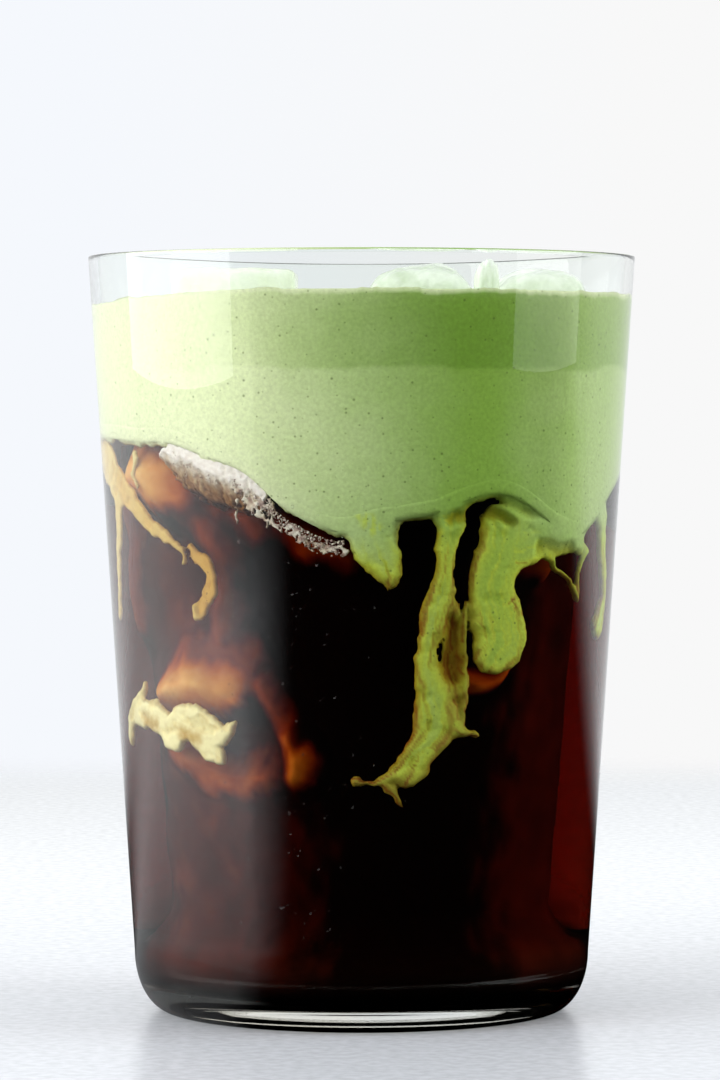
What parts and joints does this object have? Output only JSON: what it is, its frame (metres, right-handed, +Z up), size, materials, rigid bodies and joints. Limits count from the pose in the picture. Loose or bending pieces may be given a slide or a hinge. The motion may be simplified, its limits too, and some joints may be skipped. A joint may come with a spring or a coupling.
{
  "type": "iced matcha latte",
  "caption": "Tapered clear tumbler of cold black coffee under a thick float of matcha cream that sinks into it in lobes and fingers, with ice standing in the cream.",
  "frame": {"origin": "centre of the foot ring, on the surface that the glass stands on", "axes": "+Z up the glass, -Y towards the side where the fingers of cream hang, +X to the right of that side"},
  "size_m": [0.087, 0.087, 0.12],
  "materials": {
    "clear_glass": "clear polished soda-lime glass",
    "coffee": "clear near-black coffee, red-brown where thin",
    "matcha_cream": "soft pale green whipped cream with fine tea specks",
    "ice": "wet cloudy ice with a film of green cream"
  },
  "bodies": {
    "root": {"tumbler": "clear_glass", "coffee": "coffee", "matcha_cream": "matcha_cream", "ice_left": "ice", "ice_middle": "ice", "ice_right": "ice", "ice_shard": "ice"}
  },
  "joints": []
}
